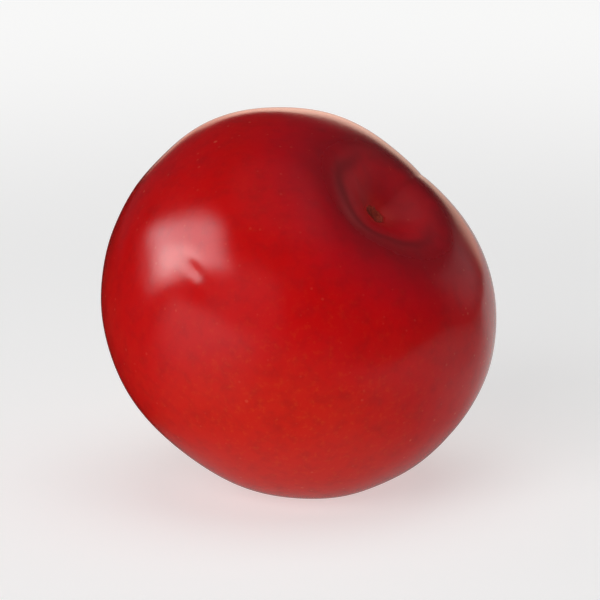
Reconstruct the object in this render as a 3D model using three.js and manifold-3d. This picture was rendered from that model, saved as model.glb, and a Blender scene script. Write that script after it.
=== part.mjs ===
// A ripe red plum as picked, with no stem: one solid fruit that lies tipped over on a small flat
// spot in its skin.
//
// The skin is one formula. Seen from the middle of the fruit, a point of the skin lies at the
// distance skinRadius(polar, around): polar is the angle from the stem end, and around is the angle
// round the fruit from its seam, the shallow groove that runs from the stem end to the tip end.
// The fruit grows stem end up +Z with its seam on +X, and is then spun, tipped over and cut flat
// where it rests. The part's frame is +Z up, in millimetres, with its origin in the rest spot.

import * as THREE from "three";
import { mergeVertices } from "three/addons/utils/BufferGeometryUtils.js";
import Module from "manifold-3d";

// Body: wide across, shorter from end to end, and squarer than an ellipsoid.
const EQUATOR_RADIUS = 28.2;
const END_RADIUS = 24.8; // from the middle to either end, before the hollows are pressed in
const TIP_END_LIFT = 0.8; // the tip end lies this much further out, and the stem end less far
const SQUARENESS = 2.25; // 2 is an ellipsoid

// Unevenness of the body, as shares of its radius.
const OVAL_SHARE = 0.014; // wider across the seam than through it
const CHEEK_SHARE = 0.0073; // three faint cheeks
const CHEEK_ANGLE = THREE.MathUtils.degToRad(49); // of the first cheek, from the seam

// Stem hollow: a bowl with soft shoulders and a deeper middle, from which the stem has come away.
// Its shoulder is drawn out into a fold on the side away from the seam.
const HOLLOW_DEPTH = 3.9;
const HOLLOW_WIDTH = 8.2;
const HOLLOW_STEEPNESS = 3;
const HOLLOW_MIDDLE_DEPTH = 0.9;
const HOLLOW_MIDDLE_WIDTH = 2.6;
const FOLD_SHARE = 0.2;
const FOLD_ANGLE = THREE.MathUtils.degToRad(30);

// Tip hollow: a faint dimple round the dry end of the flower.
const TIP_DEPTH = 0.6;
const TIP_WIDTH = 3.0;

// Seam: a line along the bottom of a broad shallow valley, both deeper towards the stem end.
const VALLEY_DEPTH = 0.5;
const VALLEY_WIDTH = 8.5;
const LINE_DEPTH = 0.1;
const LINE_WIDTH = 1.8;
const SEAM_SHARE_STEM_END = 1.25;
const SEAM_SHARE_TIP_END = 0.8;

// How it lies: spun about its own axis, then tipped over towards LEAN_ANGLE, seen from above.
const SPIN_ANGLE = THREE.MathUtils.degToRad(99.9);
const TILT_ANGLE = THREE.MathUtils.degToRad(40.8);
const LEAN_ANGLE = THREE.MathUtils.degToRad(-32);
const REST_SPOT_DEPTH = 1.2; // how deep the flat spot is pressed in where the fruit rests

// Facets: rings from end to end and segments round the fruit.
const RINGS = 48;
const SEGMENTS = 84;
const RING_CROWDING = 0.55; // 0 is even, and near 1 crowds the rings at both ends
const SEGMENT_CROWDING = 0.5; // 0 is even, and near 1 crowds the segments at the seam

// A smooth dip of the given depth at distance 0, gone a little beyond its width. The steeper it is,
// the flatter its floor and the sharper its edge.
function dip(distance, depth, width, steepness = 2) {
  return depth * Math.exp(-(Math.abs(distance / width) ** steepness));
}

function bodyRadius(polar) {
  const endRadius = END_RADIUS - TIP_END_LIFT * Math.cos(polar);
  const across = Math.abs(Math.sin(polar)) / EQUATOR_RADIUS;
  const along = Math.abs(Math.cos(polar)) / endRadius;
  return (across ** SQUARENESS + along ** SQUARENESS) ** (-1 / SQUARENESS);
}

function unevenness(polar, around) {
  const oval = -OVAL_SHARE * Math.sin(polar) ** 2 * Math.cos(2 * around);
  const cheeks = CHEEK_SHARE * Math.sin(polar) ** 3 * Math.cos(3 * (around - CHEEK_ANGLE));
  return 1 + oval + cheeks;
}

function hollowDip(polar, around) {
  const fromStemEnd = END_RADIUS * polar;
  const fold = FOLD_SHARE * Math.exp(-(((Math.PI - Math.abs(around)) / FOLD_ANGLE) ** 2));
  return (
    dip(fromStemEnd, HOLLOW_DEPTH, HOLLOW_WIDTH * (1 + fold), HOLLOW_STEEPNESS) +
    dip(fromStemEnd, HOLLOW_MIDDLE_DEPTH, HOLLOW_MIDDLE_WIDTH)
  );
}

function seamDip(polar, around) {
  const fromSeam = EQUATOR_RADIUS * Math.sin(polar) * around;
  const stemShare = (1 + Math.cos(polar)) / 2;
  return (
    THREE.MathUtils.lerp(SEAM_SHARE_TIP_END, SEAM_SHARE_STEM_END, stemShare) *
    (dip(fromSeam, VALLEY_DEPTH, VALLEY_WIDTH) + dip(fromSeam, LINE_DEPTH, LINE_WIDTH))
  );
}

// around runs from -PI to PI, with 0 on the seam.
function skinRadius(polar, around) {
  return (
    bodyRadius(polar) * unevenness(polar, around) -
    hollowDip(polar, around) -
    seamDip(polar, around) -
    dip(END_RADIUS * (Math.PI - polar), TIP_DEPTH, TIP_WIDTH)
  );
}

// The upright fruit: a sphere's grid, whose two texture coordinates give the angles of each point.
function fruitGeometry() {
  const geometry = new THREE.SphereGeometry(1, SEGMENTS, RINGS);
  const { position, uv } = geometry.attributes;
  for (let i = 0; i < position.count; i++) {
    const ringTurn = 2 * Math.PI * (1 - uv.getY(i));
    const polar = (ringTurn - RING_CROWDING * Math.sin(ringTurn)) / 2;
    const evenAround = 2 * Math.PI * uv.getX(i) - Math.PI;
    const around = evenAround - SEGMENT_CROWDING * Math.sin(evenAround);
    const radius = skinRadius(polar, around);
    position.setXYZ(
      i,
      radius * Math.sin(polar) * Math.cos(around),
      radius * Math.sin(polar) * Math.sin(around),
      radius * Math.cos(polar),
    );
  }
  geometry.deleteAttribute("normal");
  geometry.deleteAttribute("uv");
  return geometry;
}

// Spins the upright fruit, tips it over, and lowers it until REST_SPOT_DEPTH of it is under z = 0,
// with its lowest point under the origin.
function layDown(geometry) {
  geometry.rotateZ(SPIN_ANGLE).rotateY(TILT_ANGLE).rotateZ(LEAN_ANGLE);
  const { position } = geometry.attributes;
  const point = new THREE.Vector3();
  const lowest = new THREE.Vector3(0, 0, Infinity);
  for (let i = 0; i < position.count; i++) {
    point.fromBufferAttribute(position, i);
    if (point.z < lowest.z) lowest.copy(point);
  }
  return geometry.translate(-lowest.x, -lowest.y, -lowest.z - REST_SPOT_DEPTH);
}

const wasm = await Module();
wasm.setup();

// A closed three.js geometry as a solid that can be cut.
function solidOf(geometry) {
  const shape = new THREE.BufferGeometry();
  shape.setAttribute("position", geometry.attributes.position);
  shape.setIndex(geometry.index);
  const merged = mergeVertices(shape, 1e-4);
  return new wasm.Manifold(
    new wasm.Mesh({
      numProp: 3,
      vertProperties: merged.attributes.position.array,
      triVerts: new Uint32Array(merged.index.array),
    }),
  );
}

function geometryOf(solid) {
  const { vertProperties, triVerts } = solid.getMesh();
  const geometry = new THREE.BufferGeometry();
  geometry.setAttribute("position", new THREE.BufferAttribute(vertProperties, 3));
  geometry.setIndex(new THREE.BufferAttribute(triVerts, 1));
  geometry.computeVertexNormals();
  return geometry;
}

// Everything under z = 0, as a block wider than the fruit.
function groundBlock() {
  const side = 4 * EQUATOR_RADIUS;
  return new THREE.BoxGeometry(side, side, side).translate(0, 0, -side / 2);
}

function plum() {
  const fruit = solidOf(layDown(fruitGeometry()));
  const resting = fruit.subtract(solidOf(groundBlock()));
  const skin = new THREE.MeshStandardMaterial({ color: 0xa11218, roughness: 0.3, metalness: 0 });
  const mesh = new THREE.Mesh(geometryOf(resting), skin);
  mesh.name = "plum";
  return mesh;
}

const part = new THREE.Group();
part.add(plum());

export default part;
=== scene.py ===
# %% [markdown]
# # A ripe red plum
#
# This lesson finishes one plum in Blender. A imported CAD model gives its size, its place and the
# flat spot that it rests on. Here it gets the fine shape of its skin, and the colours, dots and
# bloom that make it look like fruit.

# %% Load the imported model
import math

import bpy
import mathutils
import numpy as np
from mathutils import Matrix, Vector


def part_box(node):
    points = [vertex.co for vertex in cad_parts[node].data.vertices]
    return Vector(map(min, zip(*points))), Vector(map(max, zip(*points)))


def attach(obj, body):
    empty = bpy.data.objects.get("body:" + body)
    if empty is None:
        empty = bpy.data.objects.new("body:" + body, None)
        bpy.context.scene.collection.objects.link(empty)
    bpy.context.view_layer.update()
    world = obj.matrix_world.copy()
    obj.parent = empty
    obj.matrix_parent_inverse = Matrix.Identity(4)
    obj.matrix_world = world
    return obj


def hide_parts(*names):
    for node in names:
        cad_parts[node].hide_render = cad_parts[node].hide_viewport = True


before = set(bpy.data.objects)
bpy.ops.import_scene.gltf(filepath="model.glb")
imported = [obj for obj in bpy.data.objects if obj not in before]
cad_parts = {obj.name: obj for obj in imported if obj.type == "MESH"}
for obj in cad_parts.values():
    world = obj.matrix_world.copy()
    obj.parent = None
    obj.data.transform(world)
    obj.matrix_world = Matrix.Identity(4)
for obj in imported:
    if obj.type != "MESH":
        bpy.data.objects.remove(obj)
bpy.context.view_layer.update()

MM = 0.001  # lengths are in millimetres until the mesh is made, and Blender's are in metres
plum_low, plum_high = (np.array(corner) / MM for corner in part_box("plum"))
print("The packed plum measures", np.round(plum_high - plum_low, 2), "mm")

# %% [markdown]
# ## The body
#
# A plum is one skin round one stone, so it is one surface with no parts to join. It could be
# sculpted, or pulled out of a sphere by hand, but then nobody could say why it has its shape. A
# formula is better: it gives the distance of the skin from the middle of the fruit in every
# direction, and it is the same one that the CAD model uses, so the two agree.
#
# Two angles name a direction. `polar` is the angle from the stem end, and `around` is the angle
# round the fruit from its seam.

# %% The body without its hollows
EQUATOR_RADIUS = 28.2
END_RADIUS = 24.8  # from the middle to either end
TIP_END_LIFT = 0.8  # the tip end lies this much further out, and the stem end less far
SQUARENESS = 2.25  # 2 is an ellipsoid


def body_radius(polar):
    """(across / EQUATOR_RADIUS)^n + (along / end radius)^n = 1, with n the squareness."""
    end_radius = END_RADIUS - TIP_END_LIFT * np.cos(polar)
    across = np.abs(np.sin(polar)) / EQUATOR_RADIUS
    along = np.abs(np.cos(polar)) / end_radius
    return (across**SQUARENESS + along**SQUARENESS) ** (-1 / SQUARENESS)


OVAL_SHARE = 0.014  # wider across the seam than through it
CHEEK_SHARE = 0.0073  # three faint cheeks
CHEEK_ANGLE = math.radians(49)  # of the first cheek, from the seam


def unevenness(polar, around):
    """1, plus an oval that turns twice in a round, plus cheeks that turn three times."""
    oval = -OVAL_SHARE * np.sin(polar) ** 2 * np.cos(2 * around)
    cheeks = CHEEK_SHARE * np.sin(polar) ** 3 * np.cos(3 * (around - CHEEK_ANGLE))
    return 1 + oval + cheeks


print("Half way from end to end, the body is", round(2 * body_radius(np.pi / 2), 1), "mm wide")

# %% [markdown]
# ## The two ends and the seam
#
# At the stem end the flesh has swelled up round the stem and left a bowl with soft shoulders. At
# the other end the flower has dried to a dot in a faint dimple. The seam joins the two. It is the
# line along which the leaf that became the fruit once closed, and it lies in a broad valley.
#
# Each is a smooth dip that is taken away from the body's radius, so no edge ever shows.

# %% Hollow, tip dimple and seam valley
HOLLOW_DEPTH = 3.9
HOLLOW_WIDTH = 8.2
HOLLOW_STEEPNESS = 3
HOLLOW_MIDDLE_DEPTH = 0.9
HOLLOW_MIDDLE_WIDTH = 2.6
FOLD_SHARE = 0.2  # how much wider the hollow is on the side away from the seam
FOLD_ANGLE = math.radians(30)
FLAT_FLOOR = 4  # the steepness of a dip with a flat floor


def dip(distance, depth, width, steepness=2):
    """depth * exp(-(distance / width)^steepness): a pit whose floor flattens as it steepens."""
    return depth * np.exp(-(np.abs(distance / width) ** steepness))


def hollow_dip(polar, around):
    """A steep bowl and a deeper middle, with the bowl's shoulder drawn out into one fold."""
    from_stem = END_RADIUS * polar
    fold = FOLD_SHARE * np.exp(-(((np.pi - np.abs(around)) / FOLD_ANGLE) ** 2))
    bowl = dip(from_stem, HOLLOW_DEPTH, HOLLOW_WIDTH * (1 + fold), HOLLOW_STEEPNESS)
    return bowl + dip(from_stem, HOLLOW_MIDDLE_DEPTH, HOLLOW_MIDDLE_WIDTH)


TIP_DEPTH = 0.6
TIP_WIDTH = 3.0
VALLEY_DEPTH = 0.5
VALLEY_WIDTH = 8.5
LINE_DEPTH = 0.1
LINE_WIDTH = 1.8
SEAM_SHARE_STEM_END = 1.25
SEAM_SHARE_TIP_END = 0.8


def distance_from_seam(polar, around):
    """Along the skin, straight round the fruit."""
    return EQUATOR_RADIUS * np.sin(polar) * around


def seam_dip(polar, around):
    """A broad valley with a narrower one along its bottom, both deeper towards the stem end."""
    stem_share = (1 + np.cos(polar)) / 2
    share = SEAM_SHARE_TIP_END + (SEAM_SHARE_STEM_END - SEAM_SHARE_TIP_END) * stem_share
    across = distance_from_seam(polar, around)
    return share * (dip(across, VALLEY_DEPTH, VALLEY_WIDTH) + dip(across, LINE_DEPTH, LINE_WIDTH))


def main_radius(polar, around):
    """The body, less the hollow, the seam and the dimple at the tip."""
    from_tip = END_RADIUS * (np.pi - polar)
    body = body_radius(polar) * unevenness(polar, around)
    dips = hollow_dip(polar, around) + seam_dip(polar, around)
    return body - dips - dip(from_tip, TIP_DEPTH, TIP_WIDTH)


print("Down in the hollow, the skin is", np.round(main_radius(0.0, 0.0), 1), "mm from the middle")

# %% [markdown]
# ## What a close look adds
#
# Up close, the skin is drawn into fine folds where it dives down to the stem, and a faint crease
# runs round the rim of the hollow. The stem has come away and left a corky ring with a ragged
# middle. The seam has a hair-thin crease, and the dried flower stands up as a tiny nub.
#
# These are too small for the CAD model, whose facets are 2 mm long, so they are added here. They
# could be carved with a sculpting brush, but each is simple enough to be one more term in the
# formula. Waves with seeded sizes and turns make the folds irregular.


# %% Folds in the hollow
def waves_round(around, counts, seed):
    """A sum of cosines that turn a whole number of times in a round, from about -1 to 1."""
    rng = np.random.default_rng(seed)
    total = np.zeros_like(around)
    for count in counts:
        total = total + rng.uniform(0.5, 1) * np.cos(count * around + rng.uniform(0, 2 * np.pi))
    return total / np.sqrt(len(counts))


FOLD_COUNTS = (3, 5, 7, 10)
FINE_FOLD_DEPTH = 0.05
FINE_FOLD_MIDDLE = 6.0  # from the stem end
FINE_FOLD_REACH = 2.0
FOLD_SEED = 11


def fine_folds(polar, around):
    """Waves round the stem, strongest part way down the wall of the hollow."""
    nearness = dip(END_RADIUS * polar - FINE_FOLD_MIDDLE, FINE_FOLD_DEPTH, FINE_FOLD_REACH)
    return nearness * waves_round(around, FOLD_COUNTS, FOLD_SEED)


full_round = np.linspace(-np.pi, np.pi, 181)
folds = fine_folds(FINE_FOLD_MIDDLE / END_RADIUS, full_round)
print("The folds rise and fall by", np.round(np.ptp(folds), 2), "mm")

# %% Crease round the rim of the hollow
RIM_CREASE_DEPTH = 0.02
RIM_CREASE_WIDTH = 1.0
RIM_CREASE_PLACE = 8.5  # from the stem end
RIM_CREASE_WANDER = 0.35  # how far it strays from that place
RIM_CREASE_START = math.radians(70)  # how far round from the seam it begins, on either side
RIM_COUNTS = (2, 3, 5)
RIM_SEED = 8


def rim_crease_place(around):
    """Its distance from the stem end, which wanders a little on the way round."""
    return RIM_CREASE_PLACE + RIM_CREASE_WANDER * waves_round(around, RIM_COUNTS, RIM_SEED)


def in_rim_crease(polar, around):
    """How far a point lies in the crease, from 0 to 1. It fades out towards the seam's side."""
    away_from_seam = 1 - dip(around, 1, RIM_CREASE_START, FLAT_FLOOR)
    return away_from_seam * dip(END_RADIUS * polar - rim_crease_place(around), 1, RIM_CREASE_WIDTH)


places = rim_crease_place(full_round)
print("The crease runs", np.round([places.min(), places.max()], 1), "mm from the stem end")

# %% Scar of the stem
SCAR_RADIUS = 1.8
SCAR_RING_HEIGHT = 0.22
SCAR_RING_WIDTH = 0.34
SCAR_PIT_DEPTH = 0.3
SCAR_PIT_WIDTH = 0.55 * SCAR_RADIUS
SCAR_COUNTS = (2, 3, 5, 9)
SCAR_UNEVENNESS = 0.12
SCAR_SEED = 3


def scar_edge(around):
    """The radius of the corky ring, which isn't quite round."""
    return SCAR_RADIUS * (1 + SCAR_UNEVENNESS * waves_round(around, SCAR_COUNTS, SCAR_SEED))


def stem_scar(polar, around):
    """A raised ring where the stem broke off, with a pit inside it."""
    from_stem = END_RADIUS * polar
    ring = dip(from_stem - scar_edge(around), SCAR_RING_HEIGHT, SCAR_RING_WIDTH)
    return ring - dip(from_stem, SCAR_PIT_DEPTH, SCAR_PIT_WIDTH, FLAT_FLOOR)


radii = scar_edge(full_round)
print("The scar's ring has a radius of", np.round([radii.min(), radii.max()], 1), "mm")

# %% Crease in the seam, nub at the tip, and the whole skin
CREASE_DEPTH = 0.06
CREASE_WIDTH = 0.5
STEM_FADE, TIP_FADE = 9.0, 4.5  # the lengths over which it fades out at its two ends


def seam_crease(polar, around):
    """A hair-thin crease at the bottom of the seam's valley."""
    stem_share = 1 - dip(END_RADIUS * polar, 1, STEM_FADE, FLAT_FLOOR)
    tip_share = 1 - dip(END_RADIUS * (np.pi - polar), 1, TIP_FADE, FLAT_FLOOR)
    across = distance_from_seam(polar, around)
    return stem_share * tip_share * dip(across, CREASE_DEPTH, CREASE_WIDTH)


NUB_HEIGHT = 0.4
NUB_WIDTH = 0.5


def dry_nub(polar):
    """The dried end of the flower, a tiny bump in the tip's dimple."""
    return dip(END_RADIUS * (np.pi - polar), NUB_HEIGHT, NUB_WIDTH)


def skin_radius(polar, around):
    """The main radius with everything fine added to it."""
    fine = fine_folds(polar, around) + stem_scar(polar, around) + dry_nub(polar)
    creases = seam_crease(polar, around) + RIM_CREASE_DEPTH * in_rim_crease(polar, around)
    return main_radius(polar, around) + fine - creases


print("At the dried flower, the skin is", np.round(skin_radius(np.pi, 0.0), 1), "mm from the middle")

# %% [markdown]
# ## The grid
#
# The surface is a net of rings and columns, like a globe's. Evenly spaced rings would waste
# points on the plain middle, so they crowd together at both ends, and the columns crowd together
# at the seam. Both ends close in one point.

# %% Points of the upright fruit
RINGS = 286
COLUMNS = 336
RING_CROWDING = 0.6  # 0 is even, and near 1 crowds the rings at both ends
COLUMN_CROWDING = 0.5

ring_turns = 2 * np.pi * np.arange(1, RINGS) / RINGS
ring_polars = (ring_turns - RING_CROWDING * np.sin(ring_turns)) / 2
even_arounds = 2 * np.pi * np.arange(COLUMNS) / COLUMNS - np.pi
column_arounds = even_arounds - COLUMN_CROWDING * np.sin(even_arounds)
ring_grid, column_grid = np.meshgrid(ring_polars, column_arounds, indexing="ij")
polar = np.concatenate([ring_grid.ravel(), [0.0, np.pi]])  # the stem end and the tip end come last
around = np.concatenate([column_grid.ravel(), [0.0, 0.0]])


def direction_of(polar, around):
    """The unit vector towards a point of the skin, with the stem end up and the seam on +X."""
    across = np.sin(polar)
    return np.stack([across * np.cos(around), across * np.sin(around), np.cos(polar)], axis=-1)


upright = skin_radius(polar, around)[:, None] * direction_of(polar, around)
print(len(upright), "points")

# %% [markdown]
# ## How the fruit lies
#
# A plum doesn't balance on its tip. It rolls over until it comes to rest, here with its stem end
# up and to the right. The object could be turned, but then its place would be stored apart from
# its shape, so the points of the mesh are turned instead. As in the CAD model, the fruit is spun
# about its own axis, then tipped over, and then turned.

# %% Lay the fruit down
SPIN_ANGLE = math.radians(99.9)
TILT_ANGLE = math.radians(40.8)
LEAN_ANGLE = math.radians(-32)


def turned_z(angle):
    """The matrix that turns a point about Z."""
    cosine, sine = math.cos(angle), math.sin(angle)
    return np.array([[cosine, -sine, 0], [sine, cosine, 0], [0, 0, 1]])


def turned_y(angle):
    """The matrix that turns a point about Y."""
    cosine, sine = math.cos(angle), math.sin(angle)
    return np.array([[cosine, 0, sine], [0, 1, 0], [-sine, 0, cosine]])


lie = turned_z(LEAN_ANGLE) @ turned_y(TILT_ANGLE) @ turned_z(SPIN_ANGLE)
lying = upright @ lie.T
print("The stem end now faces", np.round(lie[:, 2], 2))

# %% [markdown]
# ## Uneven skin
#
# No fruit is as smooth as a formula. Long, low waves run through the skin, and here and there it
# has been pressed by a branch, a neighbour or a finger. The deepest dent, a nick from a twig, goes
# in a fifth of a millimetre, and the waves together move the skin by no more than a third. Yet
# they bend every reflection, and a reflection is what the eye reads a shape by.
#
# A noise texture could displace the mesh, but sine waves can be kept long and low, and a dent can
# be put where the light shows it.


# %% Waves
WAVE_COUNT = 14
WAVE_HEIGHT = 0.055  # of the longest wave
SHORTEST_WAVE, LONGEST_WAVE = 9.0, 26.0
WAVE_SEED = 5


def low_waves(points):
    """A sum of sine waves that cross the fruit in random directions.

    Each is its height times the sine of its phase, which grows by one turn over its length.
    """
    rng = np.random.default_rng(WAVE_SEED)
    ways = rng.normal(size=(WAVE_COUNT, 3))
    ways /= np.linalg.norm(ways, axis=1, keepdims=True)
    lengths = rng.uniform(SHORTEST_WAVE, LONGEST_WAVE, WAVE_COUNT)
    phases = points @ (2 * np.pi * ways / lengths[:, None]).T + rng.uniform(0, 2 * np.pi, WAVE_COUNT)
    heights = WAVE_HEIGHT * lengths / LONGEST_WAVE
    return np.sin(phases) @ heights


waves = low_waves(lying)
print("The waves move the skin by", np.round([waves.min(), waves.max()], 2), "mm")


# %% Dents
def oval(points, towards, lengthwise, length, width, steepness=FLAT_FLOOR):
    """1 in the middle of an oval, and 0 outside it.

    It lies where the fruit faces towards, and is length long, lengthwise, and width wide. It is a
    dip of depth 1 in the distance sqrt((along / length)^2 + (across / width)^2).
    """
    towards = np.array(towards) / np.linalg.norm(towards)
    sideways = np.cross(towards, lengthwise)
    sideways /= np.linalg.norm(sideways)
    along = points @ np.cross(sideways, towards)
    across = points @ sideways
    facing = points @ towards > 0
    return facing * dip(np.hypot(along / length, across / width), 1, 1, steepness)


DENTS = (  # towards, lengthwise, length, width and depth
    ((-0.515, -0.773, 0.369), (0.593, -0.585, -0.553), 2.1, 0.75, 0.18),
    ((0.75, -0.6, -0.1), (0.2, 0.3, 1.0), 5.0, 2.6, 0.05),
    ((-0.7, 0.65, 0.35), (0.6, 0.7, -0.1), 4.5, 2.2, 0.06),
    ((0.35, 0.85, 0.45), (1.0, -0.2, 0.1), 3.6, 2.8, 0.05),
)
dents = sum(depth * oval(lying, *place, steepness=2) for *place, depth in DENTS)
outwards = lying / np.linalg.norm(lying, axis=1, keepdims=True)
lying = lying + (waves - dents)[:, None] * outwards
print("The deepest dent is", np.round(dents.max(), 2), "mm deep")

# %% [markdown]
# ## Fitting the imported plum
#
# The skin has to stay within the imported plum's box. The facets of the CAD model lie just inside
# the true curve, so the fruit is moved and very slightly scaled until it fits. A fixed scale would
# go wrong when the CAD model changes, so it is worked out from the box.
#
# A plum that has lain for a while has a soft flat spot under it. Cutting it flat would leave a
# sharp edge, so the lowest points are eased up to the floor.

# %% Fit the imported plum's box
FLAT_SOFTNESS = 0.35  # how far above the floor the skin begins to ease away from it

low, high = lying.min(axis=0), lying.max(axis=0)
scale = ((plum_high - plum_low)[:2] / (high - low)[:2]).min()
top = np.array([*(low + high)[:2] / 2, high[2]])
plum_top = np.array([*(plum_low + plum_high)[:2] / 2, plum_high[2]])
placed = (lying - top) * scale + plum_top


def pressed_flat(z):
    """(z + sqrt(z^2 + softness^2)) / 2: near z above the floor, and near 0 below it."""
    return (z + np.sqrt(z**2 + FLAT_SOFTNESS**2)) / 2


placed[:, 2] = pressed_flat(placed[:, 2])
placed[:, 2] *= plum_high[2] / placed[:, 2].max()
placed[:, 2] -= placed[:, 2].min() * (1 - placed[:, 2] / plum_high[2])
print("Scaled by", round(scale, 4), "and it stands", np.round(placed[:, 2].max(), 2), "mm high")

# %% [markdown]
# ## The mesh
#
# Four neighbours in the net make a face, and a fan of triangles closes either end. The order of
# a face's corners says which side is outside: down the fruit first, and then round it.
#
# The mesh could be coarse and smoothed by a Subdivision Surface modifier, but that would round
# off the crease and the scar. So the net itself is fine enough, and no modifier is needed.


# %% Build the mesh
def net_faces(ring_count, column_count):
    """The quads between neighbouring rings, and the fans that close the net at both ends."""
    ring, column = np.meshgrid(np.arange(ring_count - 1), np.arange(column_count), indexing="ij")
    here = ring * column_count + column
    beside = ring * column_count + (column + 1) % column_count
    quads = np.stack([here, here + column_count, beside + column_count, beside], axis=-1)
    column = np.arange(column_count)
    beside = (column + 1) % column_count
    stem_end = np.full(column_count, ring_count * column_count)
    last = (ring_count - 1) * column_count
    stem_fan = np.stack([stem_end, column, beside], axis=-1)
    tip_fan = np.stack([last + column, stem_end + 1, last + beside], axis=-1)
    return quads.reshape(-1, 4).tolist() + stem_fan.tolist() + tip_fan.tolist()


fruit_mesh = bpy.data.meshes.new("plum_fruit")
fruit_mesh.from_pydata(placed * MM, [], net_faces(RINGS - 1, COLUMNS))
fruit_mesh.shade_smooth()
fruit = bpy.data.objects.new("plum_fruit", fruit_mesh)
bpy.context.scene.collection.objects.link(fruit)
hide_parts("plum")
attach(fruit, "root")
print(len(fruit_mesh.polygons), "faces")

# %% [markdown]
# ## Where things are on the skin
#
# The colours follow the fruit and not space: they change towards the stem, the tip, the seam and
# the side that hung in the shade. They could be painted on a texture, but a plum has no natural
# edge along which to unwrap it. A material can't work out distances on the skin either, but it
# can read them from the mesh. So each point stores a few numbers, which Blender calls attributes.


# %% Store distances for the material
SHADE_DIRECTION = np.array([0.12, 0.95, -0.3])  # towards the side that hung in the shade
CHEEK = (  # towards, lengthwise, length and width, with the fruit's radius as 1
    (-0.03, -0.915, -0.41),
    (0.966, -0.067, -0.25),
    0.62,
    0.54,
)
STREAK_LENGTH = 11  # how many times longer than wide a streak of colour is


def store(mesh, name, values):
    """Stores one number, or one vector, for each point of the mesh."""
    kind, field = ("FLOAT", "value") if values.ndim == 1 else ("FLOAT_VECTOR", "vector")
    attribute = mesh.attributes.new(name, kind, "POINT")
    attribute.data.foreach_set(field, values.astype(np.float32).ravel())


store(fruit_mesh, "from_stem", END_RADIUS * polar)
store(fruit_mesh, "from_tip", END_RADIUS * (np.pi - polar))
store(fruit_mesh, "from_seam", np.abs(distance_from_seam(polar, around)))
store(fruit_mesh, "in_crease", in_rim_crease(polar, around))
store(fruit_mesh, "shade", outwards @ (SHADE_DIRECTION / np.linalg.norm(SHADE_DIRECTION)))
store(fruit_mesh, "cheek", oval(outwards, *CHEEK))
grain = np.stack(
    [
        EQUATOR_RADIUS * np.cos(around),
        EQUATOR_RADIUS * np.sin(around),
        END_RADIUS * polar / STREAK_LENGTH,
    ],
    axis=-1,
)
store(fruit_mesh, "grain", MM * grain)
print("Stored:", ", ".join(name for name in fruit_mesh.attributes.keys() if not name.startswith(".")))

# %% [markdown]
# ## A small kit for materials
#
# A material is a net of nodes. Blender's own names for them are long, so the materials here are
# made with a small kit that keeps their recipes readable.


class Recipe:
    """One material and its net of nodes."""

    def __init__(self, name):
        self.material = bpy.data.materials.new(name)
        self.material.use_nodes = True
        self.tree = self.material.node_tree
        self.tree.nodes.clear()
        self.place = self.node("TexCoord").outputs["Object"]

    def node(self, kind, inputs=(), **settings):
        """A node with its settings, each input fed with a plain value or another node's result."""
        made = self.tree.nodes.new("ShaderNode" + kind)
        for name, value in settings.items():
            setattr(made, name, value)
        for socket, value in dict(inputs).items():
            if isinstance(value, bpy.types.NodeSocket):
                self.tree.links.new(value, made.inputs[socket])
            else:
                made.inputs[socket].default_value = value
        return made

    def calculate(self, operation, *values, clamp=False):
        """One step of arithmetic."""
        made = self.node("Math", enumerate(values), operation=operation, use_clamp=clamp)
        return made.outputs[0]

    def total(self, *values):
        """A sum of several results."""
        result = values[0]
        for value in values[1:]:
            result = self.calculate("ADD", result, value)
        return result

    def stored(self, name, output="Fac"):
        """An attribute of the mesh."""
        return self.node("Attribute", attribute_name=name).outputs[output]

    def rise(self, value, start, end):
        """0 before start and 1 after end, with a smooth step between them. It may also fall."""
        steps = (start, end, 0.0, 1.0) if start < end else (end, start, 1.0, 0.0)
        inputs = {"Value": value, **dict(zip(("From Min", "From Max", "To Min", "To Max"), steps))}
        return self.node("MapRange", inputs, interpolation_type="SMOOTHSTEP").outputs["Result"]

    def cloud(self, size, detail=2.0, roughness=0.5, place=None):
        """Noise whose blotches are about size millimetres across, from 0 to 1."""
        inputs = {"Vector": place or self.place, "Scale": 1 / (size * MM)}
        return self.node("TexNoise", {**inputs, "Detail": detail, "Roughness": roughness}).outputs[0]

    def swing(self, value, strength):
        """A noise shifted to swing about 0, and scaled."""
        return self.calculate("MULTIPLY", self.calculate("SUBTRACT", value, 0.5), strength)

    def mixed(self, share, first, second):
        """Two colours mixed. The share is how much of the second shows."""
        opaque = [(*colour, 1) if isinstance(colour, tuple) else colour for colour in (first, second)]
        inputs = {0: share, 6: opaque[0], 7: opaque[1]}
        return self.node("Mix", inputs, data_type="RGBA").outputs[2]

    def finish(self, shader):
        """Wires the finished shader to the output, and returns the material."""
        self.node("OutputMaterial", {"Surface": shader.outputs[0]})
        print("The material", self.material.name, "has", len(self.tree.nodes), "nodes")
        return self.material


# %% [markdown]
# ## Ground colour and blush
#
# A plum is yellow first, and then the sun paints it red. The red is laid down in tiny streaks
# that run from end to end, so where it is thin, towards the shaded side, it breaks up into
# flecks over the gold. Where it is thickest it turns crimson, with a tint of rose round the stem.
# One cheek, where a leaf hung over it, has stayed a lighter red.
#
# A gradient from gold to crimson would look airbrushed. Here one number, `blush`, says how much
# red there is. It comes from the stored shade, roughened by noise of several sizes, and each
# colour takes over as it grows. A second number, `ripeness`, also grows towards the stem and
# falls on the cheek, and it decides where the red turns crimson. Flecks of maroon and orange
# keep the red from being flat.

# %% How much red the skin has
BLOTCHINESS = 0.9  # of patches 16 mm across
SPOTTINESS = 0.55  # of patches 3.6 mm across
STREAKINESS = 0.55
RIPENS_FROM, RIPE_AT = 54, 24  # millimetres from the stem end
RIPER_BY_STEM = 0.6
PALER_ON_CHEEK = 1.2

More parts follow.
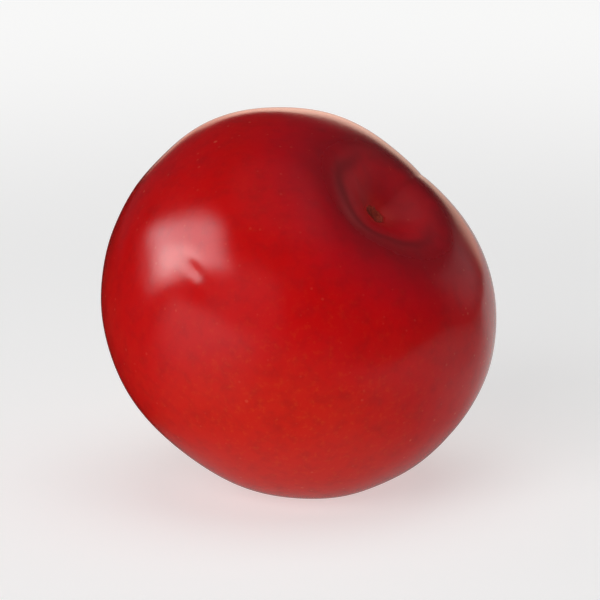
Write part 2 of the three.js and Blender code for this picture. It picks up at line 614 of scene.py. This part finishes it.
skin = Recipe("plum_skin")
from_stem = skin.stored("from_stem")
blush = skin.total(
    skin.calculate("MULTIPLY", skin.stored("shade"), -1.0),
    skin.swing(skin.cloud(16, 3), BLOTCHINESS),
    skin.swing(skin.cloud(3.6, 4, 0.6), SPOTTINESS),
    skin.swing(skin.cloud(1.4, 4, 0.6, skin.stored("grain", "Vector")), STREAKINESS),
)
ripeness = skin.total(
    blush,
    skin.calculate("MULTIPLY", skin.rise(from_stem, RIPENS_FROM, RIPE_AT), RIPER_BY_STEM),
    skin.calculate("MULTIPLY", skin.stored("cheek"), -PALER_ON_CHEEK),
)
print(len(skin.tree.nodes), "nodes say how red the skin is")

# %% Colour of the skin
GOLD = (0.72, 0.30, 0.035)
ORANGE = (0.72, 0.105, 0.016)
SCARLET = (0.57, 0.0125, 0.0060)
CRIMSON = (0.55, 0.0028, 0.0032)
ROSE = (0.54, 0.0028, 0.0085)
MAROON = (0.15, 0.0062, 0.0085)
TURNS_ORANGE = -1.15, -0.75  # the blush at which a colour begins, and at which it covers the last
TURNS_SCARLET = -0.85, -0.35
TURNS_CRIMSON = -0.1, 0.9  # of ripeness
TURNS_ROSE = 24, 14  # millimetres from the stem end

colour = skin.mixed(skin.rise(blush, *TURNS_ORANGE), GOLD, ORANGE)
colour = skin.mixed(skin.rise(blush, *TURNS_SCARLET), colour, SCARLET)
ripest = skin.mixed(skin.rise(from_stem, *TURNS_ROSE), CRIMSON, ROSE)
colour = skin.mixed(skin.rise(ripeness, *TURNS_CRIMSON), colour, ripest)
print(len(skin.tree.nodes), "nodes give the skin its reds")

# %% Flecks in the colour
DARK_FLECK_STRENGTH = 0.24
PALE_FLECK_STRENGTH = 0.045
CHEEK_FLECK_STRENGTH = 0.15  # added on the lighter cheek

dark_flecks = skin.rise(skin.cloud(2.2, 4, 0.6), 0.4, 0.8)
colour = skin.mixed(skin.calculate("MULTIPLY", dark_flecks, DARK_FLECK_STRENGTH), colour, MAROON)
pale_flecks = skin.rise(skin.cloud(0.8, 3, 0.6), 0.5, 0.78)
fleck_strength = skin.calculate(
    "MULTIPLY_ADD", skin.stored("cheek"), CHEEK_FLECK_STRENGTH, PALE_FLECK_STRENGTH
)
colour = skin.mixed(skin.calculate("MULTIPLY", pale_flecks, fleck_strength), colour, ORANGE)
print(len(skin.tree.nodes), "nodes so far")

# %% [markdown]
# ## Marks of growing
#
# A band of maroon lies round the hollow. It reaches further out along the seam, and runs into the
# hollow there. The crease round the rim is darkened with maroon as painted shade. Low in the
# hollow, a reddish ring shows where the stem shaded the skin, and the scar is cork. The seam keeps
# a trace of maroon, and the dried flower leaves a brown dot.
#
# Each mark is a share of one more colour, laid over the colour so far. The share rises or falls
# with a stored distance, and noise is added to the distance first, so that no edge is a perfect
# circle.


# %% A band of maroon round the hollow, and painted shade in the rim crease
def ragged(distance, size, detail, strength):
    """A distance in millimetres that strays by noise, so an edge drawn with it isn't smooth."""
    return skin.calculate("ADD", distance, skin.swing(skin.cloud(size, detail), strength))


BAND_OUTSIDE = 27.0, 12.0  # from the stem end: it begins at the first and is full at the second
BAND_INSIDE = 6.5, 12.5  # the clearer hollow ends between these two
HOLLOW_MAROON, BAND_MAROON = 0.08, 0.75  # some everywhere, and more in the band
SEAM_MAROON = 0.4  # at least this much along the seam, in the hollow too
SEAM_REACH = 6.0  # how much further out the band reaches along the seam than elsewhere
# painted shade: how strongly the rim crease is darkened with maroon
CREASE_PAINTED_SHADE = 0.6

from_seam = skin.stored("from_seam")
near_stem = ragged(from_stem, 6, 2, 5.0)
near_band = skin.calculate("MULTIPLY_ADD", skin.rise(from_seam, 2, 16), SEAM_REACH, near_stem)
out_of_hollow = skin.calculate(
    "MAXIMUM",
    skin.calculate("MULTIPLY_ADD", skin.rise(near_stem, *BAND_INSIDE), BAND_MAROON, HOLLOW_MAROON),
    skin.calculate("MULTIPLY", skin.rise(from_seam, 13.0, 3.0), SEAM_MAROON),
)
dark_share = skin.calculate("MULTIPLY", skin.rise(near_band, *BAND_OUTSIDE), out_of_hollow)
colour = skin.mixed(dark_share, colour, MAROON)
# Painted shade: the crease round the rim is darkened with maroon, as if shade fell in it.
painted_crease_shade = skin.calculate("MULTIPLY", skin.stored("in_crease"), CREASE_PAINTED_SHADE)
colour = skin.mixed(painted_crease_shade, colour, MAROON)
print("The band begins", BAND_OUTSIDE[0], "mm from the stem end")

# %% Ring, scar, seam and tip
CORK = (0.38, 0.075, 0.038)
CORK_DARK = (0.17, 0.022, 0.013)
RUSSET = (0.55, 0.018, 0.013)
RING_STRENGTH = 0.5
CORK_STRENGTH = 0.7
RING_EDGE = 5.0, 2.4  # from the stem end: it begins at the first and is full at the second
SCAR_EDGE = 2.1, 1.85
SEAM_EDGE = 1.8, 0.0  # from the seam
TIP_EDGE = 1.0, 0.6  # from the tip end

ring_share = skin.rise(ragged(from_stem, 0.9, 3, 1.4), *RING_EDGE)
colour = skin.mixed(skin.calculate("MULTIPLY", ring_share, RING_STRENGTH), colour, RUSSET)

cork = skin.mixed(skin.rise(skin.cloud(0.35, 3, 0.7), 0.35, 0.62), CORK_DARK, CORK)
scar_share = skin.rise(ragged(from_stem, 0.7, 3, 0.5), *SCAR_EDGE)
colour = skin.mixed(skin.calculate("MULTIPLY", scar_share, CORK_STRENGTH), colour, cork)

seam_breaks = skin.rise(skin.cloud(3.5, 4, 0.6), 0.2, 1.2)
seam_share = skin.calculate("MULTIPLY", skin.rise(from_seam, *SEAM_EDGE), seam_breaks)
colour = skin.mixed(seam_share, colour, MAROON)

tip_share = skin.rise(ragged(skin.stored("from_tip"), 0.6, 2, 0.5), *TIP_EDGE)
colour = skin.mixed(tip_share, colour, cork)
print(len(skin.tree.nodes), "nodes so far")

# %% [markdown]
# ## Pale dots
#
# The skin breathes through tiny pale dots: many that are hardly seen, and a few larger ones. They
# could be scattered as small discs, but they lie in the skin and not on it, so they are colour.
#
# Voronoi cells scatter them evenly but not in rows: each cell has one dot, and its random colour
# sets the dot's size. Some cells stay empty. The dots show best where there is little red.

# %% Pale dots
DOT_COLOUR = (0.85, 0.30, 0.17)
DOT_EDGE = 0.2  # how wide a dot's soft edge is
SMALL_DOT_SHARE = 0.6  # how strongly the small ones show, beside the large ones
DOT_STRENGTH = 0.11
DOT_STRENGTH_IN_SHADE = 0.5  # added where there is little red
DOTS_HIDDEN_BY_MAROON = 0.75


def dots(cell, smallest, largest, kept):
    """The share of pale dots: one in each Voronoi cell that is kept, of a size set by chance.

    Lengths are in millimetres, and kept is the share of the cells that have a dot.
    """
    inputs = {"Vector": skin.place, "Scale": 1 / (cell * MM), "Randomness": 0.85}
    cells = skin.node("TexVoronoi", inputs)
    chance = skin.node("SeparateColor", {0: cells.outputs["Color"]})
    size = skin.calculate("MULTIPLY_ADD", chance.outputs[0], largest - smallest, smallest)
    from_dot = skin.calculate("MULTIPLY", cells.outputs["Distance"], cell)
    inside = skin.calculate("SUBTRACT", size, from_dot)
    present = skin.calculate("LESS_THAN", chance.outputs[1], kept)
    return skin.calculate("MULTIPLY", skin.rise(inside, 0.0, DOT_EDGE), present)


large_dots = dots(cell=4.2, smallest=0.24, largest=0.42, kept=0.5)
small_dots = dots(cell=1.45, smallest=0.12, largest=0.3, kept=0.75)
dot_share = skin.calculate("MULTIPLY_ADD", small_dots, SMALL_DOT_SHARE, large_dots)
dot_strength = skin.calculate(
    "MULTIPLY_ADD", skin.rise(blush, 0.9, -0.6), DOT_STRENGTH_IN_SHADE, DOT_STRENGTH
)
not_dark = skin.calculate("MULTIPLY_ADD", dark_share, -DOTS_HIDDEN_BY_MAROON, 1.0)
dot_strength = skin.calculate("MULTIPLY", dot_strength, not_dark)
seen_dots = skin.calculate("MULTIPLY", dot_share, dot_strength, clamp=True)
colour = skin.mixed(seen_dots, colour, DOT_COLOUR)
print(len(skin.tree.nodes), "nodes so far")

# %% [markdown]
# ## Bloom
#
# Bloom is a dusting of wax. It has been rubbed off where the fruit was held, and only a trace is
# left on the shoulders of the hollow and in blotches. It greys the red a little and dulls its
# shine. A second, rougher layer over the skin could stand for it, but so thin a dusting is made
# well enough by one share, `bloom`, that changes the colour and the roughness together.

# %% Bloom
BLOOM = (0.32, 0.12, 0.19)
SHOULDER_BLOOM, BLOTCH_BLOOM = 0.6, 0.25
SHOULDER_INSIDE = 4.0, 8.0  # from the stem end, as is the next
SHOULDER_OUTSIDE = 20.0, 9.0
BLOOM_STRENGTH = 0.04

shoulder = skin.calculate(
    "MULTIPLY", skin.rise(from_stem, *SHOULDER_INSIDE), skin.rise(near_stem, *SHOULDER_OUTSIDE)
)
blotches = skin.rise(skin.cloud(9, 5, 0.6), 0.45, 0.75)
bloom = skin.total(
    skin.calculate("MULTIPLY", shoulder, SHOULDER_BLOOM),
    skin.calculate("MULTIPLY", blotches, BLOTCH_BLOOM),
)
dusting = skin.calculate("MULTIPLY_ADD", skin.cloud(1.1, 4, 0.7), 0.9, 0.4)
bloom = skin.calculate("MULTIPLY", bloom, dusting, clamp=True)
colour = skin.mixed(skin.calculate("MULTIPLY", bloom, BLOOM_STRENGTH), colour, BLOOM)
print(len(skin.tree.nodes), "nodes so far")

# %% [markdown]
# ## Gloss, relief and depth
#
# Rubbed plum skin shines like varnish. It is duller down in the hollow, where nothing rubs it, and
# dullest on cork. It is faintly pebbled too. That relief is about two hundredths of a millimetre
# high, and on the cork up to two tenths. It is too fine for the mesh, so a Bump node bends the
# shading instead.
#
# Some light goes through the skin, wanders in the flesh and comes out redder. A little subsurface
# scattering in the Principled shader does this, and it softens the shadows on the fruit.

# %% Gloss
SHINE = 0.16  # the roughness of rubbed skin
BLOOM_DULLING = 0.12
HOLLOW_DULLING = 0.3
HOLLOW_EDGE = 13.0, 7.0  # from the stem end
CREASE_DULLING = 0.15
CORK_DULLING = 0.45
SHINE_UNEVENNESS = 0.06

roughness = skin.total(
    skin.calculate("MULTIPLY_ADD", bloom, BLOOM_DULLING, SHINE),
    skin.calculate("MULTIPLY", skin.rise(from_stem, *HOLLOW_EDGE), HOLLOW_DULLING),
    skin.calculate("MULTIPLY", skin.stored("in_crease"), CREASE_DULLING),
    skin.swing(skin.cloud(5, 3), SHINE_UNEVENNESS),
    skin.calculate("MULTIPLY", scar_share, CORK_DULLING),
    skin.calculate("MULTIPLY", tip_share, CORK_DULLING),
)
print(len(skin.tree.nodes), "nodes so far")

# %% Relief
RELIEF_HEIGHT = 0.02  # millimetres, and each form has a share of it
PEBBLES = 0.35
RIPPLES = 0.9
DOT_PITS = -0.25
CORK_HEIGHT = 9.0

rough_cork = skin.calculate("MULTIPLY", skin.cloud(0.3, 4, 0.75), CORK_HEIGHT)
height = skin.total(
    skin.calculate("MULTIPLY", skin.cloud(0.5, 3, 0.6), PEBBLES),
    skin.calculate("MULTIPLY", skin.cloud(2.2, 2), RIPPLES),
    skin.calculate("MULTIPLY", dot_share, DOT_PITS),
    skin.calculate("MULTIPLY", scar_share, rough_cork),
)
relief = skin.node("Bump", {"Strength": 1.0, "Distance": RELIEF_HEIGHT * MM, "Height": height})
print("On the cork, the relief is up to", round(RELIEF_HEIGHT * CORK_HEIGHT, 2), "mm high")

# %% The skin's shader
surface = skin.node(
    "BsdfPrincipled",
    {
        "Base Color": colour,
        "Roughness": roughness,
        "Normal": relief.outputs[0],
        "IOR": 1.45,
        "Subsurface Weight": 0.18,
        "Subsurface Radius": (1.0, 0.15, 0.08),  # red light goes furthest
        "Subsurface Scale": 2.0 * MM,
    },
)
fruit_mesh.materials.append(skin.finish(surface))

# %% [markdown]
# ## The studio
#
# The floor and the dome behind it are pale and plain. The dome is seen by the camera alone, so it
# neither lights the fruit nor mirrors in it, and the floor fades into the dome before it ends.
#
# A sheet of paper bent up behind the fruit would do as well, but only from the front, and this
# fruit is looked at from all sides. So the studio is round.


# %% Floor and dome
FLOOR_RADIUS = 1.2  # metres, like all lengths of the studio
DOME_RADIUS = 2.2
RAYS = ("camera", "diffuse", "glossy", "transmission", "shadow", "volume_scatter")


def surface_of_revolution(name, profile, columns=64):
    """A surface turned round Z from a list of (radius, height) points."""
    profile = np.array(profile)
    turns = 2 * np.pi * np.arange(columns) / columns
    radius, turn = np.meshgrid(profile[:, 0], turns, indexing="ij")
    height = np.repeat(profile[:, 1:], columns, axis=1)
    points = np.stack([radius * np.cos(turn), radius * np.sin(turn), height], axis=-1)
    ring, column = np.meshgrid(np.arange(len(profile) - 1), np.arange(columns), indexing="ij")
    here = ring * columns + column
    beside = ring * columns + (column + 1) % columns
    faces = np.stack([here, here + columns, beside + columns, beside], axis=-1).reshape(-1, 4)
    mesh = bpy.data.meshes.new(name)
    mesh.from_pydata(points.reshape(-1, 3), [], faces.tolist())
    mesh.shade_smooth()
    made = bpy.data.objects.new(name, mesh)
    bpy.context.scene.collection.objects.link(made)
    return made


def hidden_from(thing, *rays):
    """Hides an object or a light from some kinds of rays."""
    for kind in rays:
        setattr(thing, "visible_" + kind, False)


def seen_only_by(thing, ray):
    """Hides an object from every kind of ray but one."""
    hidden_from(thing, *(kind for kind in RAYS if kind != ray))


floor_profile = [(0.0001, 0), (0.1, 0), (0.5, 0), (FLOOR_RADIUS, 0)]  # all but closed under the fruit
floor = surface_of_revolution("floor", floor_profile)
hidden_from(floor, "glossy")
dome_turns = np.linspace(-0.2, np.pi / 2 - 0.001, 24)  # from under the floor's edge to overhead
dome_profile = DOME_RADIUS * np.stack([np.cos(dome_turns), np.sin(dome_turns)], axis=-1)
dome = surface_of_revolution("dome", dome_profile)
seen_only_by(dome, "camera")
print("The floor is", 2 * FLOOR_RADIUS, "m across and the dome is", DOME_RADIUS, "m high")

# %% [markdown]
# ## Paper that glows
#
# Paper lit by lamps alone goes grey far from the fruit. So this paper takes light and shadow near
# the fruit, and shows an even glow of its own further out, where nothing casts a shadow on it.
#
# The fruit mirrors a second floor that the camera doesn't see. In a bright white floor the lower
# half of a glossy fruit would go grey, so this one is nearly black, but for a small grey pool
# round the spot where the fruit rests.


# %% Paper for both floors and the dome
PAPER = (0.9, 0.9, 0.895)
PAPER_GLOW = (1.5, 1.5, 1.49)
POOL = (0.27, 0.27, 0.265)
DARK_FLOOR = (0.008, 0.008, 0.009)
GRAIN_SHADE = 0.97  # how bright the darker grain of the paper is, beside the lighter grain


def glowing_paper(name, near, near_glow, far, centre, fade, glow_share):
    """Paper that takes light and shadow near its centre, and shows an even glow further out.

    It changes between the two distances in fade. Near its centre, glow_share of it glows already.
    """
    paper = Recipe(name)
    from_centre = paper.node("VectorMath", {0: paper.place, 1: centre}, operation="DISTANCE")
    far_share = paper.rise(from_centre.outputs["Value"], *fade)
    grain = paper.mixed(paper.cloud(0.8, 3), near, tuple(GRAIN_SHADE * part for part in near))
    diffuse = paper.node("BsdfDiffuse", {"Color": grain})
    glow = paper.node("Emission", {"Color": paper.mixed(far_share, near_glow, far)})
    lit = paper.node("MixShader", {0: glow_share, 1: diffuse.outputs[0], 2: glow.outputs[0]})
    both = paper.node("MixShader", {0: far_share, 1: lit.outputs[0], 2: glow.outputs[0]})
    return paper.finish(both)


seen_paper = glowing_paper(
    "paper",
    near=PAPER,
    near_glow=PAPER_GLOW,
    far=PAPER,
    centre=(0, 0, 0),
    fade=(0.12, 0.45),
    glow_share=0.35,
)
floor.data.materials.append(seen_paper)
dome.data.materials.append(seen_paper)

# %% The floor that the fruit mirrors
mirrored_floor = surface_of_revolution("mirrored_floor", floor_profile)
seen_only_by(mirrored_floor, "glossy")
mirrored_paper = glowing_paper(
    "mirrored_paper",
    near=POOL,
    near_glow=POOL,
    far=DARK_FLOOR,
    centre=(0, -0.002, 0),
    fade=(0.012, 0.036),
    glow_share=0.8,
)
mirrored_floor.data.materials.append(mirrored_paper)

# %% [markdown]
# ## The light
#
# Two broad lights shape the fruit: the key light, in front at the left and a little above it, and
# a weaker one overhead that reaches into the hollow. One sun lamp would be simpler, but its
# shadows are hard, and a broad light's are soft.
#
# In a skin as glossy as this one, lights as broad as these would also show as two white patches.
# So they are hidden from the gloss, and what the skin mirrors is set up apart from them.


# %% Lights
MIDDLE = np.array([-0.002, 0.0015, 0.027])  # where the fruit's middle is, near enough
LIGHT_SIDE = 0.8
LIGHT_DISTANCE = 0.9


def turned_to(back, sideways):
    """The turn whose Z axis is back, and whose X axis is as near to sideways as it can be."""
    back = np.array(back) / np.linalg.norm(back)
    up = np.cross(back, sideways)
    up /= np.linalg.norm(up)
    axes = np.stack([np.cross(up, back), up, back], axis=-1)
    return mathutils.Matrix(axes.tolist()).to_euler()


def soft_light(name, direction, brightness):
    """A square light aimed at the fruit. Its brightness is what a white card would show."""
    lamp = bpy.data.lights.new(name, "AREA")
    lamp.size = LIGHT_SIDE
    lamp.energy = brightness * math.pi * LIGHT_SIDE**2
    made = bpy.data.objects.new(name, lamp)
    direction = np.array(direction) / np.linalg.norm(direction)
    made.location = MIDDLE + LIGHT_DISTANCE * direction
    made.rotation_euler = turned_to(direction, np.cross((0, 0, 1), direction))
    hidden_from(made, "camera", "glossy")
    bpy.context.scene.collection.objects.link(made)
    print("The", name, "light gives", round(lamp.energy, 2), "W")


soft_light("key", (-0.5, -0.8, 0.33), brightness=3.0)
soft_light("overhead", (0.08, 0.0, 0.95), brightness=1.45)

# %% [markdown]
# ## What the skin mirrors
#
# A glossy fruit shows its surroundings as much as itself, so a studio puts up cards and decides
# what it mirrors, one card at a time. A bright softbox at the left makes the highlight. A warm
# panel behind draws the thin bright line along the upper edge. Two cards on the floor, behind and
# at the right, carry that line on down the right edge and put a sheen beside it. A pale strip
# makes the soft sheen at the lower left. A card at the right puts a sheen on the shoulder of the
# hollow, and a black one behind at the left keeps that edge dark. Overhead and in front there is
# nothing, and that is what lets the middle of the fruit stay a deep red.
#
# Area lights could do this, but they mirror with a sharp outline. These cards are glowing faces
# that fade out at their edges, and only the gloss of the fruit sees them.


# %% Glowing cards
HOT_SPOT_SQUARE = 0.12  # the square of a hot spot's radius, with the card's sides as 1


def inside_edges(face, side, fade):
    """0 at both edges of one side and 1 within them."""
    from_middle = face.calculate("ABSOLUTE", face.calculate("SUBTRACT", face.stored(side), 0.5))
    return face.rise(from_middle, 0.5, 0.5 - fade)


def near_hot_spot(face, hot_spot):
    """1 at the hot spot, and 0 further from it than its radius."""
    squares = []
    for side, place in zip(("across", "along"), hot_spot):
        away = face.calculate("SUBTRACT", face.stored(side), place)
        squares.append(face.calculate("MULTIPLY", away, away))
    return face.rise(face.total(*squares), HOT_SPOT_SQUARE, 0.0)


def card(name, centre, wide, tall, dim, bright, hot_spot=(0.5, 0.5), fade=0.25):
    """A glowing card with two sides, wide and tall.

    It is bright at its hot spot, dim away from it, and fades to nothing at its edges.
    """
    centre, wide, tall = np.array(centre), np.array(wide), np.array(tall)
    across = np.array([0.0, 1.0, 1.0, 0.0])
    along = np.array([0.0, 0.0, 1.0, 1.0])
    corners = centre + (across[:, None] - 0.5) * wide + (along[:, None] - 0.5) * tall
    mesh = bpy.data.meshes.new(name)
    mesh.from_pydata(corners, [], [(0, 1, 2, 3)])
    store(mesh, "across", across)
    store(mesh, "along", along)
    face = Recipe(name)
    edges = face.calculate(
        "MULTIPLY", inside_edges(face, "across", fade), inside_edges(face, "along", fade)
    )
    clear = face.node("BsdfTransparent")
    glow = face.node("Emission", {"Color": face.mixed(near_hot_spot(face, hot_spot), dim, bright)})
    faded = face.node("MixShader", {0: edges, 1: clear.outputs[0], 2: glow.outputs[0]})
    mesh.materials.append(face.finish(faded))
    made = bpy.data.objects.new(name, mesh)
    bpy.context.scene.collection.objects.link(made)
    seen_only_by(made, "glossy")


# %% Softbox and warm panel
card(
    "softbox",
    centre=(-0.432, -0.064, 0.273),
    wide=(0.300, -0.585, 0.358),
    tall=(-0.065, -0.345, -0.199),
    dim=(4.5, 4.3, 4.5),
    bright=(8.2, 8.0, 8.0),
    hot_spot=(0.37, 0.7),
    fade=0.3,
)
card(
    "back_panel",
    centre=(0.09, 0.5, 0.03),
    wide=(0.5, 0, 0),
    tall=(0, 0, 0.3),
    dim=(1.15, 0.72, 0.56),
    bright=(1.85, 1.27, 1.0),
    hot_spot=(0.42, 0.77),
    fade=0.12,
)

# %% Cards for the sheens and the dark edge
WHITE = (0.6, 0.56, 0.545)
PALE = (0.75, 0.75, 0.76)
GREY = (0.3, 0.3, 0.31)
DARK_GREY = (0.2, 0.2, 0.2)
BLACK = (0, 0, 0)

card(
    "bright_floor",
    centre=(0.144, 0.384, 0.001),
    wide=(0.378, 0.367, 0),
    tall=(-0.14, 0.5, 0),
    dim=WHITE,
    bright=WHITE,
    fade=0.1,
)
card(
    "grey_floor",
    centre=(0.325, 0.17, 0.0008),
    wide=(0.65, 0, 0),
    tall=(0, 0.54, 0),
    dim=DARK_GREY,
    bright=GREY,
    hot_spot=(0.1, 0.2),
    fade=0.1,
)
card(
    "pale_strip",
    centre=(-0.235, -0.15, 0.036),
    wide=(0.45, 0.056, -0.07),
    tall=(-0.02, -0.25, 0),
    dim=GREY,
    bright=PALE,
    hot_spot=(0.7, 0.3),
    fade=0.15,
)
card(
    "right_card",
    centre=(0.49, 0.34, 0.17),
    wide=(-0.285, 0.41, 0),
    tall=(0, 0, 0.36),
    dim=GREY,
    bright=GREY,
    fade=0.35,
)
card(
    "black_card",
    centre=(-0.85, 0.30, 0.17),
    wide=(0.45, 0.8, 0),
    tall=(0, 0, 0.5),
    dim=BLACK,
    bright=BLACK,
)

# %% [markdown]
# ## Air and film
#
# In a room a trace of light comes from every side, so no shadow is quite black. The world's
# background gives it. It could be a picture of a real room, but that would mirror in the skin.
#
# The view transform is to Blender what the film is to a camera. Standard is used, because the
# usual one, AgX, makes a red as deep as this one paler.

# %% The air and the film
AIR = (0.04, 0.037, 0.045, 1)

air = bpy.data.worlds.new("air")
air.use_nodes = True
air.node_tree.nodes["Background"].inputs["Color"].default_value = AIR
bpy.context.scene.world = air
bpy.context.scene.view_settings.view_transform = "Standard"

# %% [markdown]
# ## The camera
#
# It looks straight along +Y and 15 degrees down, from about a metre away, through a long lens. A
# short lens close by would show the fruit as large, but it would also bulge. The lens is worked
# out from the fruit's width, so the fruit fills the same share of the picture whatever its size.

# %% Camera
CAMERA_DISTANCE = 0.93
CAMERA_ELEVATION = math.radians(15)
FRUIT_SHARE = 0.66  # of the picture's width

camera_data = bpy.data.cameras.new("camera")
camera = bpy.data.objects.new("camera", camera_data)
to_camera = np.array([0, -math.cos(CAMERA_ELEVATION), math.sin(CAMERA_ELEVATION)])
camera.location = MIDDLE + CAMERA_DISTANCE * to_camera
camera.rotation_euler = turned_to(to_camera, (1, 0, 0))
fruit_width = (plum_high - plum_low)[0] * MM
camera_data.lens = camera_data.sensor_width * FRUIT_SHARE * CAMERA_DISTANCE / fruit_width
bpy.context.scene.collection.objects.link(camera)
bpy.context.scene.camera = camera
print("Lens", round(camera_data.lens), "mm")
